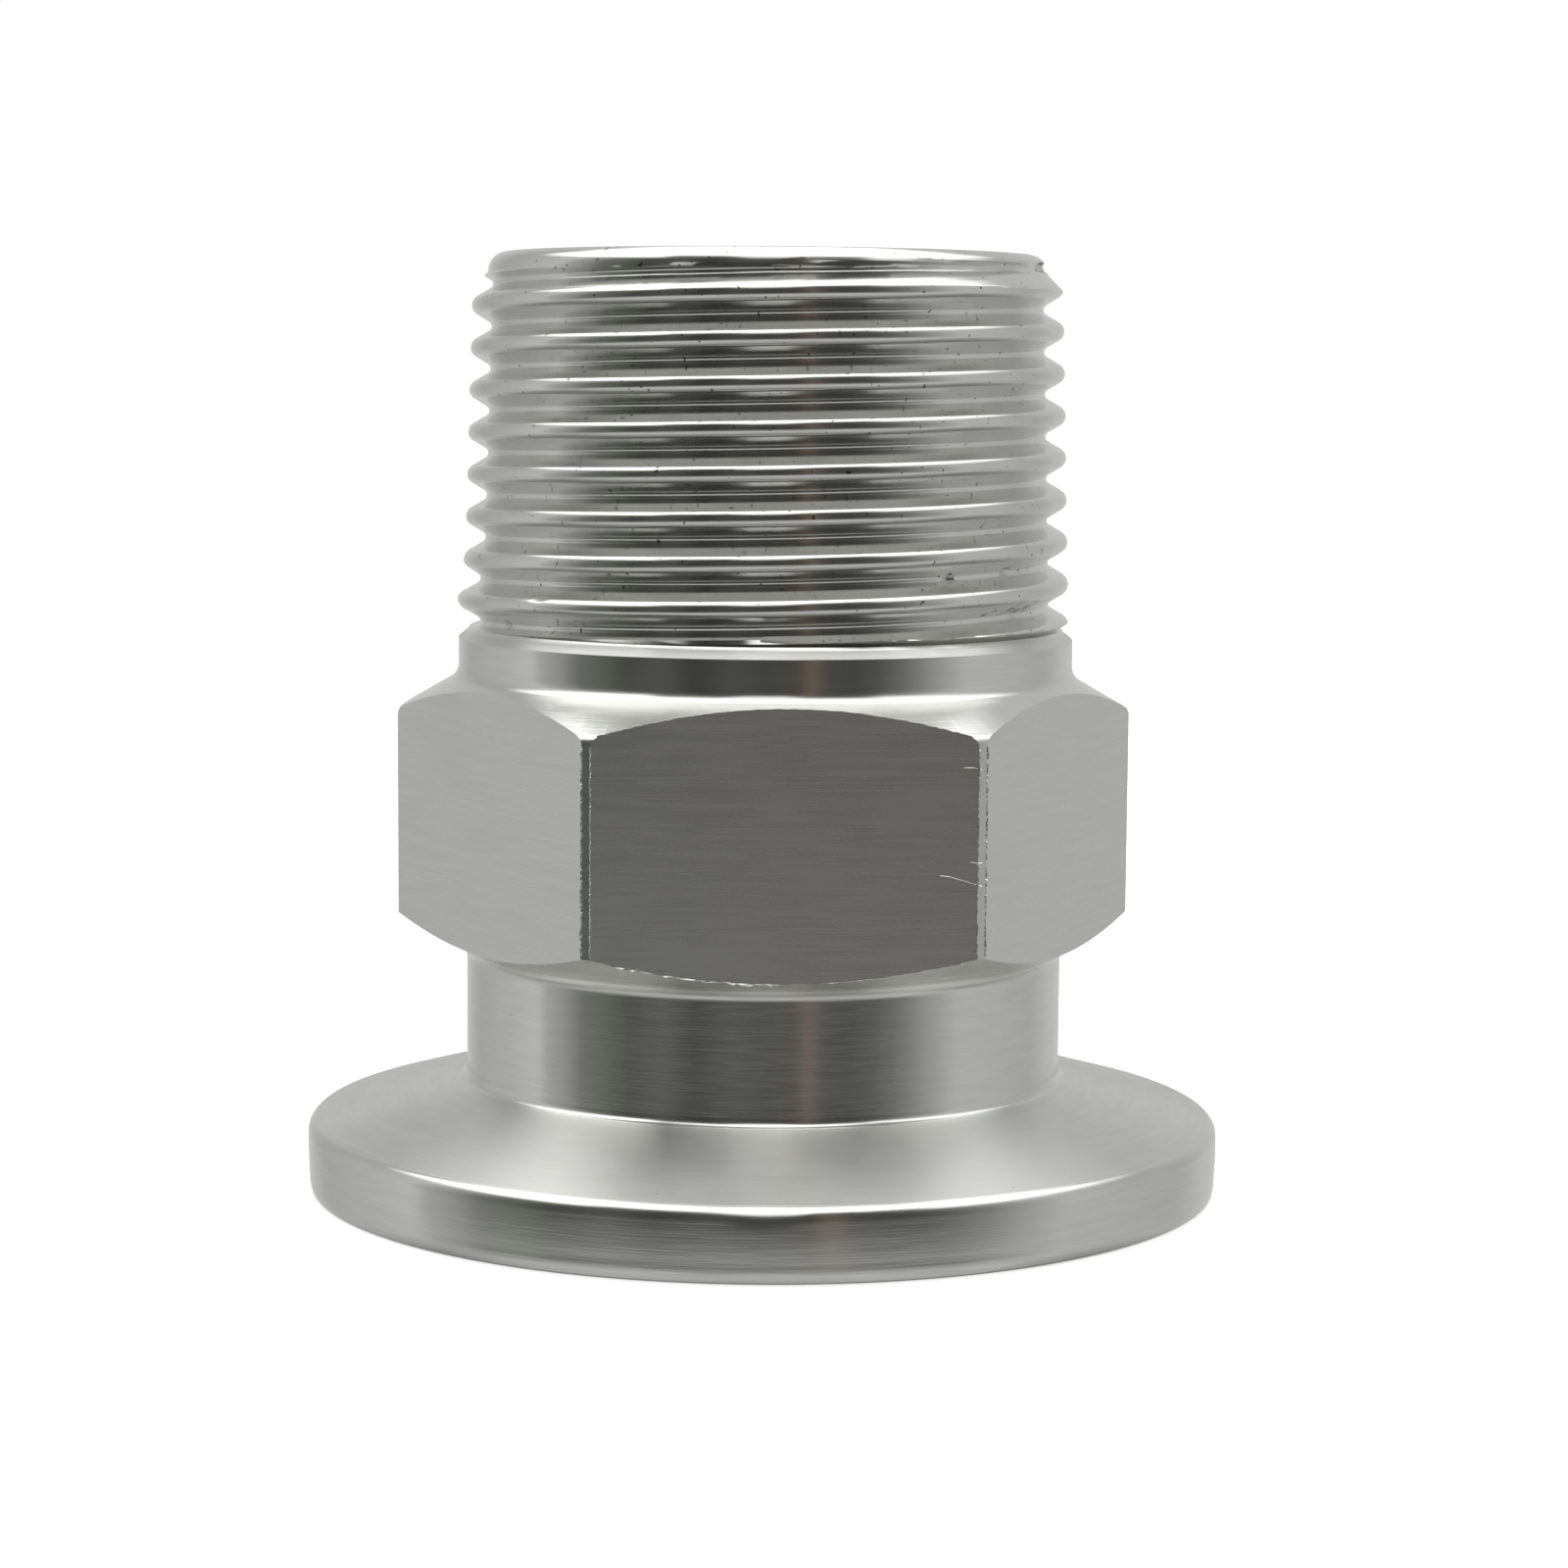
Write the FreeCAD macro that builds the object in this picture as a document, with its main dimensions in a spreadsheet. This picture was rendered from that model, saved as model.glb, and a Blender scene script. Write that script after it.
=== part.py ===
import FreeCAD, Part
import Sketcher
import math
import os

# Driving dimensions, in millimetres and degrees.
# The piece stands on the sealing face of its flange, and its axis is Z.
SIZES = [
    # Clamped flange at the foot
    ("flange_diameter", 40.0),
    ("rim_thickness", 3.0),
    ("rim_edge_radius", 0.35),
    ("foot_edge_radius", 0.25),
    ("flange_angle", 15.0),
    ("recess_diameter", 26.2),
    ("recess_depth", 3.0),
    ("recess_edge_break", 0.2),
    # Round neck between the flange and the hexagon
    ("neck_diameter", 26.1),
    ("neck_length", 5.53),
    ("neck_fillet", 0.4),
    # Hexagon for the spanner: its flats stand a step out from the collar, and its corners are
    # left as narrow strips of a turned blank a little smaller than the full hexagon
    ("hex_step", 0.6),
    ("hex_corner_trim", 0.116),
    ("hex_length", 9.0),
    ("hex_turn", 3.4),
    ("hex_lower_angle", 28.0),
    ("hex_upper_angle", 30.0),
    # Round collar under the thread
    ("collar_diameter", 26.8),
    ("collar_length", 2.22),
    ("collar_fillet", 0.4),
    # Tapered male pipe thread
    ("thread_length", 15.96),
    ("thread_pitch", 1.814),
    ("thread_angle", 55.0),
    ("taper_ratio", 16.0),
    ("gauge_diameter", 26.441),
    ("gauge_length", 9.5),
    ("crest_radius", 0.49),
    ("root_width", 0.4),
    ("ridge_lead_turns", 0.974),
    ("runout_depth", 0.72),
    # Rounded free end of the thread
    ("end_land_depth", 1.12),
    ("end_land_length", 0.85),
    ("end_shoulder_angle", 45.0),
    ("end_round", 0.8),
    # Through bore, from the wall left under the thread's gauge size
    ("thread_wall", 3.72),
    ("bore_edge_break", 0.5),
]

HEX_SIDES = 6
FULL_TURN = 360
# A pipe thread's sharp V loses a sixth of its height at the crest
CREST_SHARE = 6

# Construction allowances: how far a cutter or a buried root reaches past the finished surface
CUTTER_ALLOWANCE = 2.0
RIDGE_SINK = 0.1
RIDGE_BURY = 0.4
TURNS_PAST_END = 1
TURNS_PER_SEGMENT = 1
MATCH = 1e-4

doc = FreeCAD.newDocument("threaded_adapter")
sheet = doc.addObject("Spreadsheet::Sheet", "Sizes")
for row, (alias, value) in enumerate(SIZES, start=1):
    sheet.set("A%d" % row, str(value))
    sheet.setAlias("A%d" % row, alias)
doc.recompute()

body = doc.addObject("PartDesign::Body", "AdapterBody")
body.Label = "adapter_body"


def size(alias):
    """Expression that reads one driving dimension."""
    return "Sizes." + alias


def half(alias):
    """Expression for a radius, from the diameter in the sheet."""
    return "(Sizes.%s / 2)" % alias


def value_of(expression):
    """Present value of an expression, for picking edges and first sketch positions."""
    return float(sheet.evalExpression(expression))


# Hexagon across its flats, and the corners of the full hexagon, the turned blank and the bore
# as radii
HEX_FLATS = "(Sizes.collar_diameter + 2 * Sizes.hex_step)"
HEX_CORNER = "(%s / sqrt(3))" % HEX_FLATS
HEX_BLANK = "(%s - Sizes.hex_corner_trim)" % HEX_CORNER
BORE = "(%s - Sizes.thread_wall)" % half("gauge_diameter")
RECESS = half("recess_diameter")

# Levels along the axis, each one worked up from the one below it
NECK_BASE = "(Sizes.rim_thickness + (%s - %s) * tan(Sizes.flange_angle))" % (
    half("flange_diameter"), half("neck_diameter"))
HEX_BASE = "(%s + Sizes.neck_length)" % NECK_BASE
HEX_LOW = "(%s + (%s - %s) * tan(Sizes.hex_lower_angle))" % (
    HEX_BASE, HEX_BLANK, half("neck_diameter"))
HEX_HIGH = "(%s + Sizes.hex_length)" % HEX_LOW
COLLAR_BASE = "(%s + (%s - %s) * tan(Sizes.hex_upper_angle))" % (
    HEX_HIGH, HEX_BLANK, half("collar_diameter"))
RUNOUT = "(%s + Sizes.collar_length)" % COLLAR_BASE
TOP = "(%s + Sizes.thread_length)" % RUNOUT

# Thread form: a sharp V, a sixth of its height above the gauge size, with a flat root
FLANK = half("thread_angle")
SHARP_HEIGHT = "(Sizes.thread_pitch / 2 / tan(%s))" % FLANK
SHARP_CREST = "(%s / %d)" % (SHARP_HEIGHT, CREST_SHARE)
ROOT_HALF_WIDTH = half("root_width")
THREAD_DEPTH = "(%s - %s - %s / tan(%s))" % (SHARP_HEIGHT, SHARP_CREST, ROOT_HALF_WIDTH, FLANK)
TAPER_SLOPE = "(1 / (2 * Sizes.taper_ratio))"
RIDGE_START = "(%s - Sizes.ridge_lead_turns * Sizes.thread_pitch)" % RUNOUT


def major_radius(level):
    """Full-form crest radius of the taper at a level."""
    return "(%s + (%s - Sizes.gauge_length - %s) * %s)" % (
        half("gauge_diameter"), TOP, level, TAPER_SLOPE)


def root_radius(level):
    """Root radius of the taper at a level."""
    return "(%s - %s)" % (major_radius(level), THREAD_DEPTH)


def plane_of(role):
    """One of the body's own origin planes."""
    return next(feature for feature in body.Origin.OriginFeatures if feature.Role == role)


def new_sketch(name, role):
    """Empty sketch on one of the body's origin planes."""
    sketch = body.newObject("Sketcher::SketchObject", name)
    sketch.AttachmentSupport = [(plane_of(role), "")]
    sketch.MapMode = "FlatFace"
    return sketch


def arc_through(start, end, radius, side):
    """Arc shorter than a half turn that bulges to one side of its chord."""
    chord = end - start
    across = FreeCAD.Vector(-chord.y, chord.x, 0).normalize() * side
    rise = radius - math.sqrt(radius ** 2 - (chord.Length / 2) ** 2)
    return Part.Arc(start, (start + end) / 2 + across * rise, end)


def draw_outline(name, corners, arcs=None):
    """Closed outline in the XZ plane, every corner held at its radius and level.

    corners lists (corner name, radius expression, level expression). arcs gives the sides
    that are arcs, by the name of the corner they leave: (radius expression, side).
    """
    arcs = arcs or {}
    sketch = new_sketch(name, "XZ_Plane")
    points = [FreeCAD.Vector(value_of(r), value_of(z), 0) for _, r, z in corners]
    count = len(corners)
    for index, (corner, _, _) in enumerate(corners):
        start, end = points[index], points[(index + 1) % count]
        if corner in arcs:
            radius, side = arcs[corner]
            sketch.addGeometry(arc_through(start, end, value_of(radius), side))
        else:
            sketch.addGeometry(Part.LineSegment(start, end))
    # An arc drawn clockwise keeps its ends the other way round
    ends = []
    for index in range(count):
        drawn_start = sketch.getPoint(index, 1)
        forward = (drawn_start - points[index]).Length < MATCH
        ends.append((1, 2) if forward else (2, 1))
    for index in range(count):
        following = (index + 1) % count
        sketch.addConstraint(
            Sketcher.Constraint("Coincident", index, ends[index][1], following, ends[following][0]))
    for index, (corner, radius, level) in enumerate(corners):
        held = ((radius, points[index].x, "DistanceX", "_radius"),
                (level, points[index].y, "DistanceY", "_level"))
        for expression, present, kind, suffix in held:
            number = sketch.addConstraint(
                Sketcher.Constraint(kind, -1, 1, index, ends[index][0], present))
            sketch.renameConstraint(number, corner + suffix)
            sketch.setExpression("Constraints." + corner + suffix, expression)
        if corner in arcs:
            number = sketch.addConstraint(
                Sketcher.Constraint("Radius", index, value_of(arcs[corner][0])))
            sketch.renameConstraint(number, corner + "_arc")
            sketch.setExpression("Constraints." + corner + "_arc", arcs[corner][0])
    return sketch


def turned(kind, name, sketch):
    """Full turn about the Z axis: a Revolution adds metal and a Groove takes it away."""
    feature = body.newObject(kind, name)
    feature.Profile = sketch
    feature.ReferenceAxis = (sketch, ["V_Axis"])
    feature.Angle = FULL_TURN
    return feature


def ring_edges(shape, radius, level):
    """Names of the circular edges about the Z axis at one radius and level."""
    names = []
    for number, edge in enumerate(shape.Edges, start=1):
        curve = edge.Curve
        if not isinstance(curve, Part.Circle):
            continue
        on_axis = math.hypot(curve.Center.x, curve.Center.y) < MATCH
        if on_axis and abs(curve.Radius - radius) < MATCH and abs(curve.Center.z - level) < MATCH:
            names.append("Edge%d" % number)
    return names


def worked_edges(kind, name, base, edges, length, alias):
    """Fillet or chamfer on named edges of the feature before it."""
    feature = body.newObject(kind, name)
    feature.Base = (base, edges)
    feature.setExpression(length, size(alias))
    doc.recompute()
    return feature


# Turned blank: flange, neck, a round blank for the hexagon, collar and the core of the thread
blank_sketch = draw_outline("BlankOutline", [
    ("foot_axis", "0", "0"),
    ("foot", half("flange_diameter"), "0"),
    ("rim", half("flange_diameter"), size("rim_thickness")),
    ("neck_foot", half("neck_diameter"), NECK_BASE),
    ("neck_head", half("neck_diameter"), HEX_BASE),
    ("hex_low", HEX_BLANK, HEX_LOW),
    ("hex_high", HEX_BLANK, HEX_HIGH),
    ("collar_foot", half("collar_diameter"), COLLAR_BASE),
    ("collar_head", half("collar_diameter"), RUNOUT),
    ("core_foot", root_radius(RUNOUT), RUNOUT),
    ("core_head", root_radius(TOP), TOP),
    ("head_axis", "0", TOP),
])
blank = turned("PartDesign::Revolution", "TurnedBlank", blank_sketch)
doc.recompute()

# Edge rounds left by the turning tool
rounds = (
    ("FootRound", "flange_diameter", "0", "foot_edge_radius"),
    ("RimRound", "flange_diameter", size("rim_thickness"), "rim_edge_radius"),
    ("NeckFootFillet", "neck_diameter", NECK_BASE, "neck_fillet"),
    ("NeckHeadFillet", "neck_diameter", HEX_BASE, "neck_fillet"),
    ("CollarFillet", "collar_diameter", COLLAR_BASE, "collar_fillet"),
)
latest = blank
for name, diameter, level, alias in rounds:
    edges = ring_edges(latest.Shape, value_of(half(diameter)), value_of(level))
    latest = worked_edges("PartDesign::Fillet", name, latest, edges, "Radius", alias)

# Hexagon: six flats milled on the round blank, turned a little off the front
hex_sketch = new_sketch("HexFlats", "XY_Plane")
hex_sketch.setExpression("AttachmentOffset.Base.z", COLLAR_BASE)
corner_places = []
for side in range(HEX_SIDES):
    bearing = "(Sizes.hex_turn + %g)" % (side * FULL_TURN / HEX_SIDES)
    corner_places.append([
        (kind, suffix, "%s * %s%s" % (HEX_CORNER, function, bearing))
        for kind, suffix, function in (("DistanceX", "_x", "cos"), ("DistanceY", "_y", "sin"))])
hex_points = [
    FreeCAD.Vector(value_of(place[0][2]), value_of(place[1][2]), 0) for place in corner_places]
for side in range(HEX_SIDES):
    hex_sketch.addGeometry(Part.LineSegment(hex_points[side], hex_points[(side + 1) % HEX_SIDES]))
for side in range(HEX_SIDES):
    hex_sketch.addConstraint(
        Sketcher.Constraint("Coincident", side, 2, (side + 1) % HEX_SIDES, 1))
for side, place in enumerate(corner_places):
    for kind, suffix, expression in place:
        number = hex_sketch.addConstraint(
            Sketcher.Constraint(kind, -1, 1, side, 1, value_of(expression)))
        hex_sketch.renameConstraint(number, "corner%d%s" % (side, suffix))
        hex_sketch.setExpression("Constraints.corner%d%s" % (side, suffix), expression)
cutter_radius = "(%s + %s)" % (HEX_CORNER, CUTTER_ALLOWANCE)
cutter_edge = hex_sketch.addGeometry(
    Part.Circle(FreeCAD.Vector(), FreeCAD.Vector(0, 0, 1), value_of(cutter_radius)))
hex_sketch.addConstraint(Sketcher.Constraint("Coincident", cutter_edge, 3, -1, 1))
number = hex_sketch.addConstraint(
    Sketcher.Constraint("Radius", cutter_edge, value_of(cutter_radius)))
hex_sketch.renameConstraint(number, "cutter_radius")
hex_sketch.setExpression("Constraints.cutter_radius", cutter_radius)
flats = body.newObject("PartDesign::Pocket", "MilledFlats")
flats.Profile = hex_sketch
flats.Type = 0
flats.setExpression("Length", "%s - %s" % (COLLAR_BASE, HEX_BASE))
doc.recompute()


def bored(name, radius, level, depth):
    """Round hole about the axis, sunk downwards from a level."""
    sketch = new_sketch(name + "Circle", "XY_Plane")
    sketch.setExpression("AttachmentOffset.Base.z", level)
    sketch.addGeometry(
        Part.Circle(FreeCAD.Vector(), FreeCAD.Vector(0, 0, 1), value_of(radius)))
    sketch.addConstraint(Sketcher.Constraint("Coincident", 0, 3, -1, 1))
    number = sketch.addConstraint(Sketcher.Constraint("Radius", 0, value_of(radius)))
    sketch.renameConstraint(number, "hole_radius")
    sketch.setExpression("Constraints.hole_radius", radius)
    hole = body.newObject("PartDesign::Pocket", name)
    hole.Profile = sketch
    hole.Type = 0
    hole.setExpression("Length", depth)
    doc.recompute()
    return hole


# Through bore, the seat of the centring ring in the foot, and their broken edges
bore = bored("ThroughBore", BORE, TOP, TOP)
recess = bored("CentringRecess", RECESS, size("recess_depth"), size("recess_depth"))
bore_edges = [
    name for level in (TOP, size("recess_depth"))
    for name in ring_edges(recess.Shape, value_of(BORE), value_of(level))]
bore_break = worked_edges("PartDesign::Chamfer", "BoreEdges", recess, bore_edges,
                          "Size", "bore_edge_break")
recess_edges = ring_edges(bore_break.Shape, value_of(RECESS), 0)
recess_break = worked_edges("PartDesign::Chamfer", "RecessEdge", bore_break, recess_edges,
                            "Size", "recess_edge_break")

# Thread ridge: a rounded 55 degree V that climbs out of the collar around the tapered core
APEX = "(%s + %s)" % (major_radius(RIDGE_START), SHARP_CREST)
CREST_CENTRE = "(%s - Sizes.crest_radius / sin(%s))" % (APEX, FLANK)
CREST_TANGENT = "(%s + Sizes.crest_radius * sin(%s))" % (CREST_CENTRE, FLANK)
CREST_HALF = "(Sizes.crest_radius * cos(%s))" % FLANK
FOOT_RADIUS = "(%s - %s)" % (root_radius(RIDGE_START), RIDGE_SINK)
FOOT_HALF = "((%s - %s) * tan(%s))" % (APEX, FOOT_RADIUS, FLANK)
BURIED_RADIUS = "(%s - %s)" % (root_radius(RIDGE_START), RIDGE_BURY)
ridge_sketch = draw_outline("RidgeOutline", [
    ("buried_low", BURIED_RADIUS, "%s - %s" % (RIDGE_START, FOOT_HALF)),
    ("foot_low", FOOT_RADIUS, "%s - %s" % (RIDGE_START, FOOT_HALF)),
    ("crest_low", CREST_TANGENT, "%s - %s" % (RIDGE_START, CREST_HALF)),
    ("crest_high", CREST_TANGENT, "%s + %s" % (RIDGE_START, CREST_HALF)),
    ("foot_high", FOOT_RADIUS, "%s + %s" % (RIDGE_START, FOOT_HALF)),
    ("buried_high", BURIED_RADIUS, "%s + %s" % (RIDGE_START, FOOT_HALF)),
], arcs={"crest_low": (size("crest_radius"), -1)})
thread_path = doc.addObject("Part::Helix", "ThreadPath")
thread_path.SegmentLength = TURNS_PER_SEGMENT
thread_path.setExpression("Pitch", size("thread_pitch"))
thread_path.setExpression(
    "Height", "%s - %s + %d * Sizes.thread_pitch" % (TOP, RIDGE_START, TURNS_PAST_END))
thread_path.setExpression("Radius", root_radius(RIDGE_START))
thread_path.setExpression("Angle", "-atan(%s)" % TAPER_SLOPE)
thread_path.setExpression("Placement.Base.z", RIDGE_START)
doc.recompute()
path_edges = ["Edge%d" % number for number in range(1, len(thread_path.Shape.Edges) + 1)]
ridge = body.newObject("PartDesign::AdditivePipe", "ThreadRidge")
ridge.Profile = ridge_sketch
ridge.Spine = (thread_path, path_edges)
ridge.Mode = "Frenet"
doc.recompute()

# Run-out groove, where the threading tool stopped feeding against the collar
CUTTER_REACH = "(max(%s; %s) + %s)" % (half("collar_diameter"), APEX, CUTTER_ALLOWANCE)
RUNOUT_RADIUS = "(%s - Sizes.runout_depth)" % half("gauge_diameter")
MOUTH_HALF = "(%s + (%s - %s) * tan(%s))" % (ROOT_HALF_WIDTH, CUTTER_REACH, RUNOUT_RADIUS, FLANK)
runout_sketch = draw_outline("RunoutOutline", [
    ("root_low", RUNOUT_RADIUS, "%s - %s" % (RUNOUT, ROOT_HALF_WIDTH)),
    ("mouth_low", CUTTER_REACH, "%s - %s" % (RUNOUT, MOUTH_HALF)),
    ("mouth_high", CUTTER_REACH, "%s + %s" % (RUNOUT, MOUTH_HALF)),
    ("root_high", RUNOUT_RADIUS, "%s + %s" % (RUNOUT, ROOT_HALF_WIDTH)),
])
runout = turned("PartDesign::Groove", "RunoutGroove", runout_sketch)
doc.recompute()

# Free end: a shoulder down to a short land, and a large round into the end face
LAND_RADIUS = "(%s - Sizes.end_land_depth)" % half("gauge_diameter")
LAND_LEVEL = "(%s - Sizes.end_land_length)" % TOP
SHOULDER_DROP = "((%s - %s) / tan(Sizes.end_shoulder_angle))" % (CUTTER_REACH, LAND_RADIUS)
OVER_TOP = "(%s + %d * Sizes.thread_pitch)" % (TOP, TURNS_PAST_END + 1)
INSIDE_BORE = "(%s - %s)" % (BORE, CUTTER_ALLOWANCE)
end_sketch = draw_outline("EndOutline", [
    ("shoulder", CUTTER_REACH, "%s - %s" % (LAND_LEVEL, SHOULDER_DROP)),
    ("land_foot", LAND_RADIUS, LAND_LEVEL),
    ("land_head", LAND_RADIUS, "%s - Sizes.end_round" % TOP),
    ("face_edge", "%s - Sizes.end_round" % LAND_RADIUS, TOP),
    ("face_inner", INSIDE_BORE, TOP),
    ("over_inner", INSIDE_BORE, OVER_TOP),
    ("over_outer", CUTTER_REACH, OVER_TOP),
], arcs={"land_head": (size("end_round"), -1)})
end_cut = turned("PartDesign::Groove", "RoundedEnd", end_sketch)
doc.recompute()
body.Tip = end_cut
doc.recompute()

# Checks before anything is written
for item in doc.Objects:
    if "Invalid" in item.State or "Error" in item.State:
        raise RuntimeError("%s did not build: %s" % (item.Name, item.State))
steps = [blank, flats, bore, recess, ridge, runout, end_cut]
for before, after in zip(steps, steps[1:]):
    grew = after.Shape.Volume > before.Shape.Volume
    if grew != (after is ridge):
        raise RuntimeError("%s worked the wrong way" % after.Name)
if body.Shape.isNull() or not body.Shape.isValid() or len(body.Shape.Solids) != 1:
    raise RuntimeError("adapter_body is not one valid solid")

body.Placement = FreeCAD.Placement()
os.makedirs("parts", exist_ok=True)
body.Shape.exportStep(os.path.join("parts", body.Label + ".step"))
bounds = body.Shape.optimalBoundingBox()
print("adapter_body: %.2f x %.2f x %.2f mm, %.1f mm3" % (
    bounds.XLength, bounds.YLength, bounds.ZLength, body.Shape.Volume))
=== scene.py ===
import math

import bpy
import numpy as np
from mathutils import Matrix, Vector


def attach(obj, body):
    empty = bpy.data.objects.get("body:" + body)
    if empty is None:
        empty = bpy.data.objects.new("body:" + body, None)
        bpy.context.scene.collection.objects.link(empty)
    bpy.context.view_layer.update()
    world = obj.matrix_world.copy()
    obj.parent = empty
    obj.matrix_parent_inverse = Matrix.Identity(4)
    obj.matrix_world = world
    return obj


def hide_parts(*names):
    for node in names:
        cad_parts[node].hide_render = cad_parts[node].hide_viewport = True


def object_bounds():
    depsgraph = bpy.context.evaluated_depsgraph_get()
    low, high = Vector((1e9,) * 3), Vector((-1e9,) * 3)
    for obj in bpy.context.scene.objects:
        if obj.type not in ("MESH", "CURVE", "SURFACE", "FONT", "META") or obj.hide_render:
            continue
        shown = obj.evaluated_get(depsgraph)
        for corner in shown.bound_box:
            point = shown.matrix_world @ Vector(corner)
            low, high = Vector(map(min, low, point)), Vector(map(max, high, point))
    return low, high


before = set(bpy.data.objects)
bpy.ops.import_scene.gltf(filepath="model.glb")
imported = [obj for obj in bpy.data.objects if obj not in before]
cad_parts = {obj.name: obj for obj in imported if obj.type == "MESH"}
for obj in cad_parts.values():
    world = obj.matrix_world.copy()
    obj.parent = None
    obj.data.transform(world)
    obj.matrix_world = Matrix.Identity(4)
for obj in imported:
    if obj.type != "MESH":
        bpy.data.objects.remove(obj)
cad_low, cad_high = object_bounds()

# Adapter body
# One stainless bar, turned and bored all over, with six flats milled for the spanner and a
# tapered pipe thread cut at the free end. It is a single piece, with nothing fitted to it.
# Sizes are in millimetres, radii from the axis and levels from the sealing face.
MM = 0.001
FINE = 1e-6  # short enough, in metres or millimetres, for two places to be one
TURN_STEPS = 240

# Flange, with a recess for the centring ring in its sealing face
RIM_RADIUS = 20.0
RIM_LEVEL = 3.0
RIM_ROUND = 0.62
RIM_CROWN = 0.22
CROWN_SHARE = 0.7
FOOT_LEVEL = 0.42
FOOT_DRAFT = 0.1
FOOT_ROUND = 0.1
RECESS_RADIUS = 13.1
RECESS_LEVEL = 3.0
RECESS_BREAK = 0.2

# Neck, and the round blank that the hexagon is milled from, with a cone above and below it
NECK_RADIUS = 13.05
NECK_FOOT = 4.94
NECK_HEAD = 10.55
FOOT_FILLET = 0.45
HEAD_FILLET = 0.75
BLANK_RADIUS = 16.05
BLANK_ROUND = 0.5
HEX_LOW = 11.987
HEX_HIGH = 20.987
HEX_TURN = math.radians(3.4)
FLAT_DISTANCE = 14.0

# Collar, and the small step and lip between it and the thread's run-out
COLLAR_RADIUS = 13.4
COLLAR_LEVEL = 22.517
COLLAR_TOP = 24.12
COLLAR_FILLET = 0.8
COLLAR_EDGE = 0.05
LIP_RADIUS = 13.02
LIP_LEVEL = 24.44
STEP_RADIUS = 12.92
STEP_LEVEL = 24.58
RUNOUT_RADIUS = 12.72
RUNOUT_LEVEL = 24.6

# Free end, with a plain land above the thread, and the bore
TOP_LEVEL = cad_high.z / MM
LAND_RADIUS = 12.1
LAND_LEVEL = TOP_LEVEL - 0.85
END_ROUND = 0.8
BORE_RADIUS = 9.5
BORE_BREAK = 0.5


def wrapped(angle):
    """Angle in radians, brought to between half a turn back and half a turn on."""
    return (angle + math.pi) % math.tau - math.pi


def rounded(corners):
    """Outline through corners of (radius, level, round, steps), each turned to its round."""
    outline = []
    for index, (radius, level, curve, steps) in enumerate(corners):
        corner = Vector((radius, level))
        if not curve:
            outline.append(corner)
            continue
        back = (Vector(corners[index - 1][:2]) - corner).normalized()
        ahead = (Vector(corners[index + 1][:2]) - corner).normalized()
        half = back.angle(ahead) / 2
        centre = corner + (back + ahead).normalized() * curve / math.sin(half)
        first, last = (
            corner + side * curve / math.tan(half) - centre for side in (back, ahead))
        start = math.atan2(first.y, first.x)
        sweep = wrapped(math.atan2(last.y, last.x) - start)
        for step in range(steps + 1):
            bearing = start + sweep * step / steps
            outline.append(centre + curve * Vector((math.cos(bearing), math.sin(bearing))))
    return outline


def in_section(outline):
    """Points in the XZ plane for an outline of (radius, level)."""
    return [Vector((radius, 0, level)) for radius, level in outline]


def draw_wire(name, points):
    """Wire through points given in millimetres, drawn one after another."""
    points = [point * MM for point in points]
    bpy.ops.object.select_all(action="DESELECT")
    bpy.context.tool_settings.mesh_select_mode = (True, False, False)
    bpy.ops.mesh.primitive_plane_add(size=MM)
    wire = bpy.context.object
    wire.name = wire.data.name = name
    bpy.ops.object.mode_set(mode="EDIT")
    bpy.ops.mesh.merge(type="CENTER")
    bpy.ops.transform.translate(value=points[0])
    for start, end in zip(points, points[1:]):
        bpy.ops.mesh.extrude_vertices_move(TRANSFORM_OT_translate={"value": end - start})
    bpy.ops.object.mode_set(mode="OBJECT")
    return wire


def choose_faces(piece, wanted):
    """Leaves the piece in edit mode with only the wanted faces selected."""
    if piece.mode == "EDIT":
        bpy.ops.object.mode_set(mode="OBJECT")
    bpy.ops.object.select_all(action="DESELECT")
    bpy.context.view_layer.objects.active = piece
    piece.select_set(True)
    bpy.context.tool_settings.mesh_select_mode = (False, False, True)
    bpy.ops.object.mode_set(mode="EDIT")
    bpy.ops.mesh.select_all(action="DESELECT")
    bpy.ops.object.mode_set(mode="OBJECT")
    for face in piece.data.polygons:
        face.select = wanted(face.center / MM, face.normal)
    bpy.ops.object.mode_set(mode="EDIT")


# The rim is dressed with emery, which leaves it a very slight crown above its middle
rim_crown = [
    (RIM_RADIUS - RIM_CROWN * (share - CROWN_SHARE) ** 2, RIM_LEVEL * share, 0, 0)
    for share in (0.82, 0.76, CROWN_SHARE, 0.6, 0.5, 0.4, 0.3, 0.2)]
rim_foot = rim_crown[-1][0]

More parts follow.
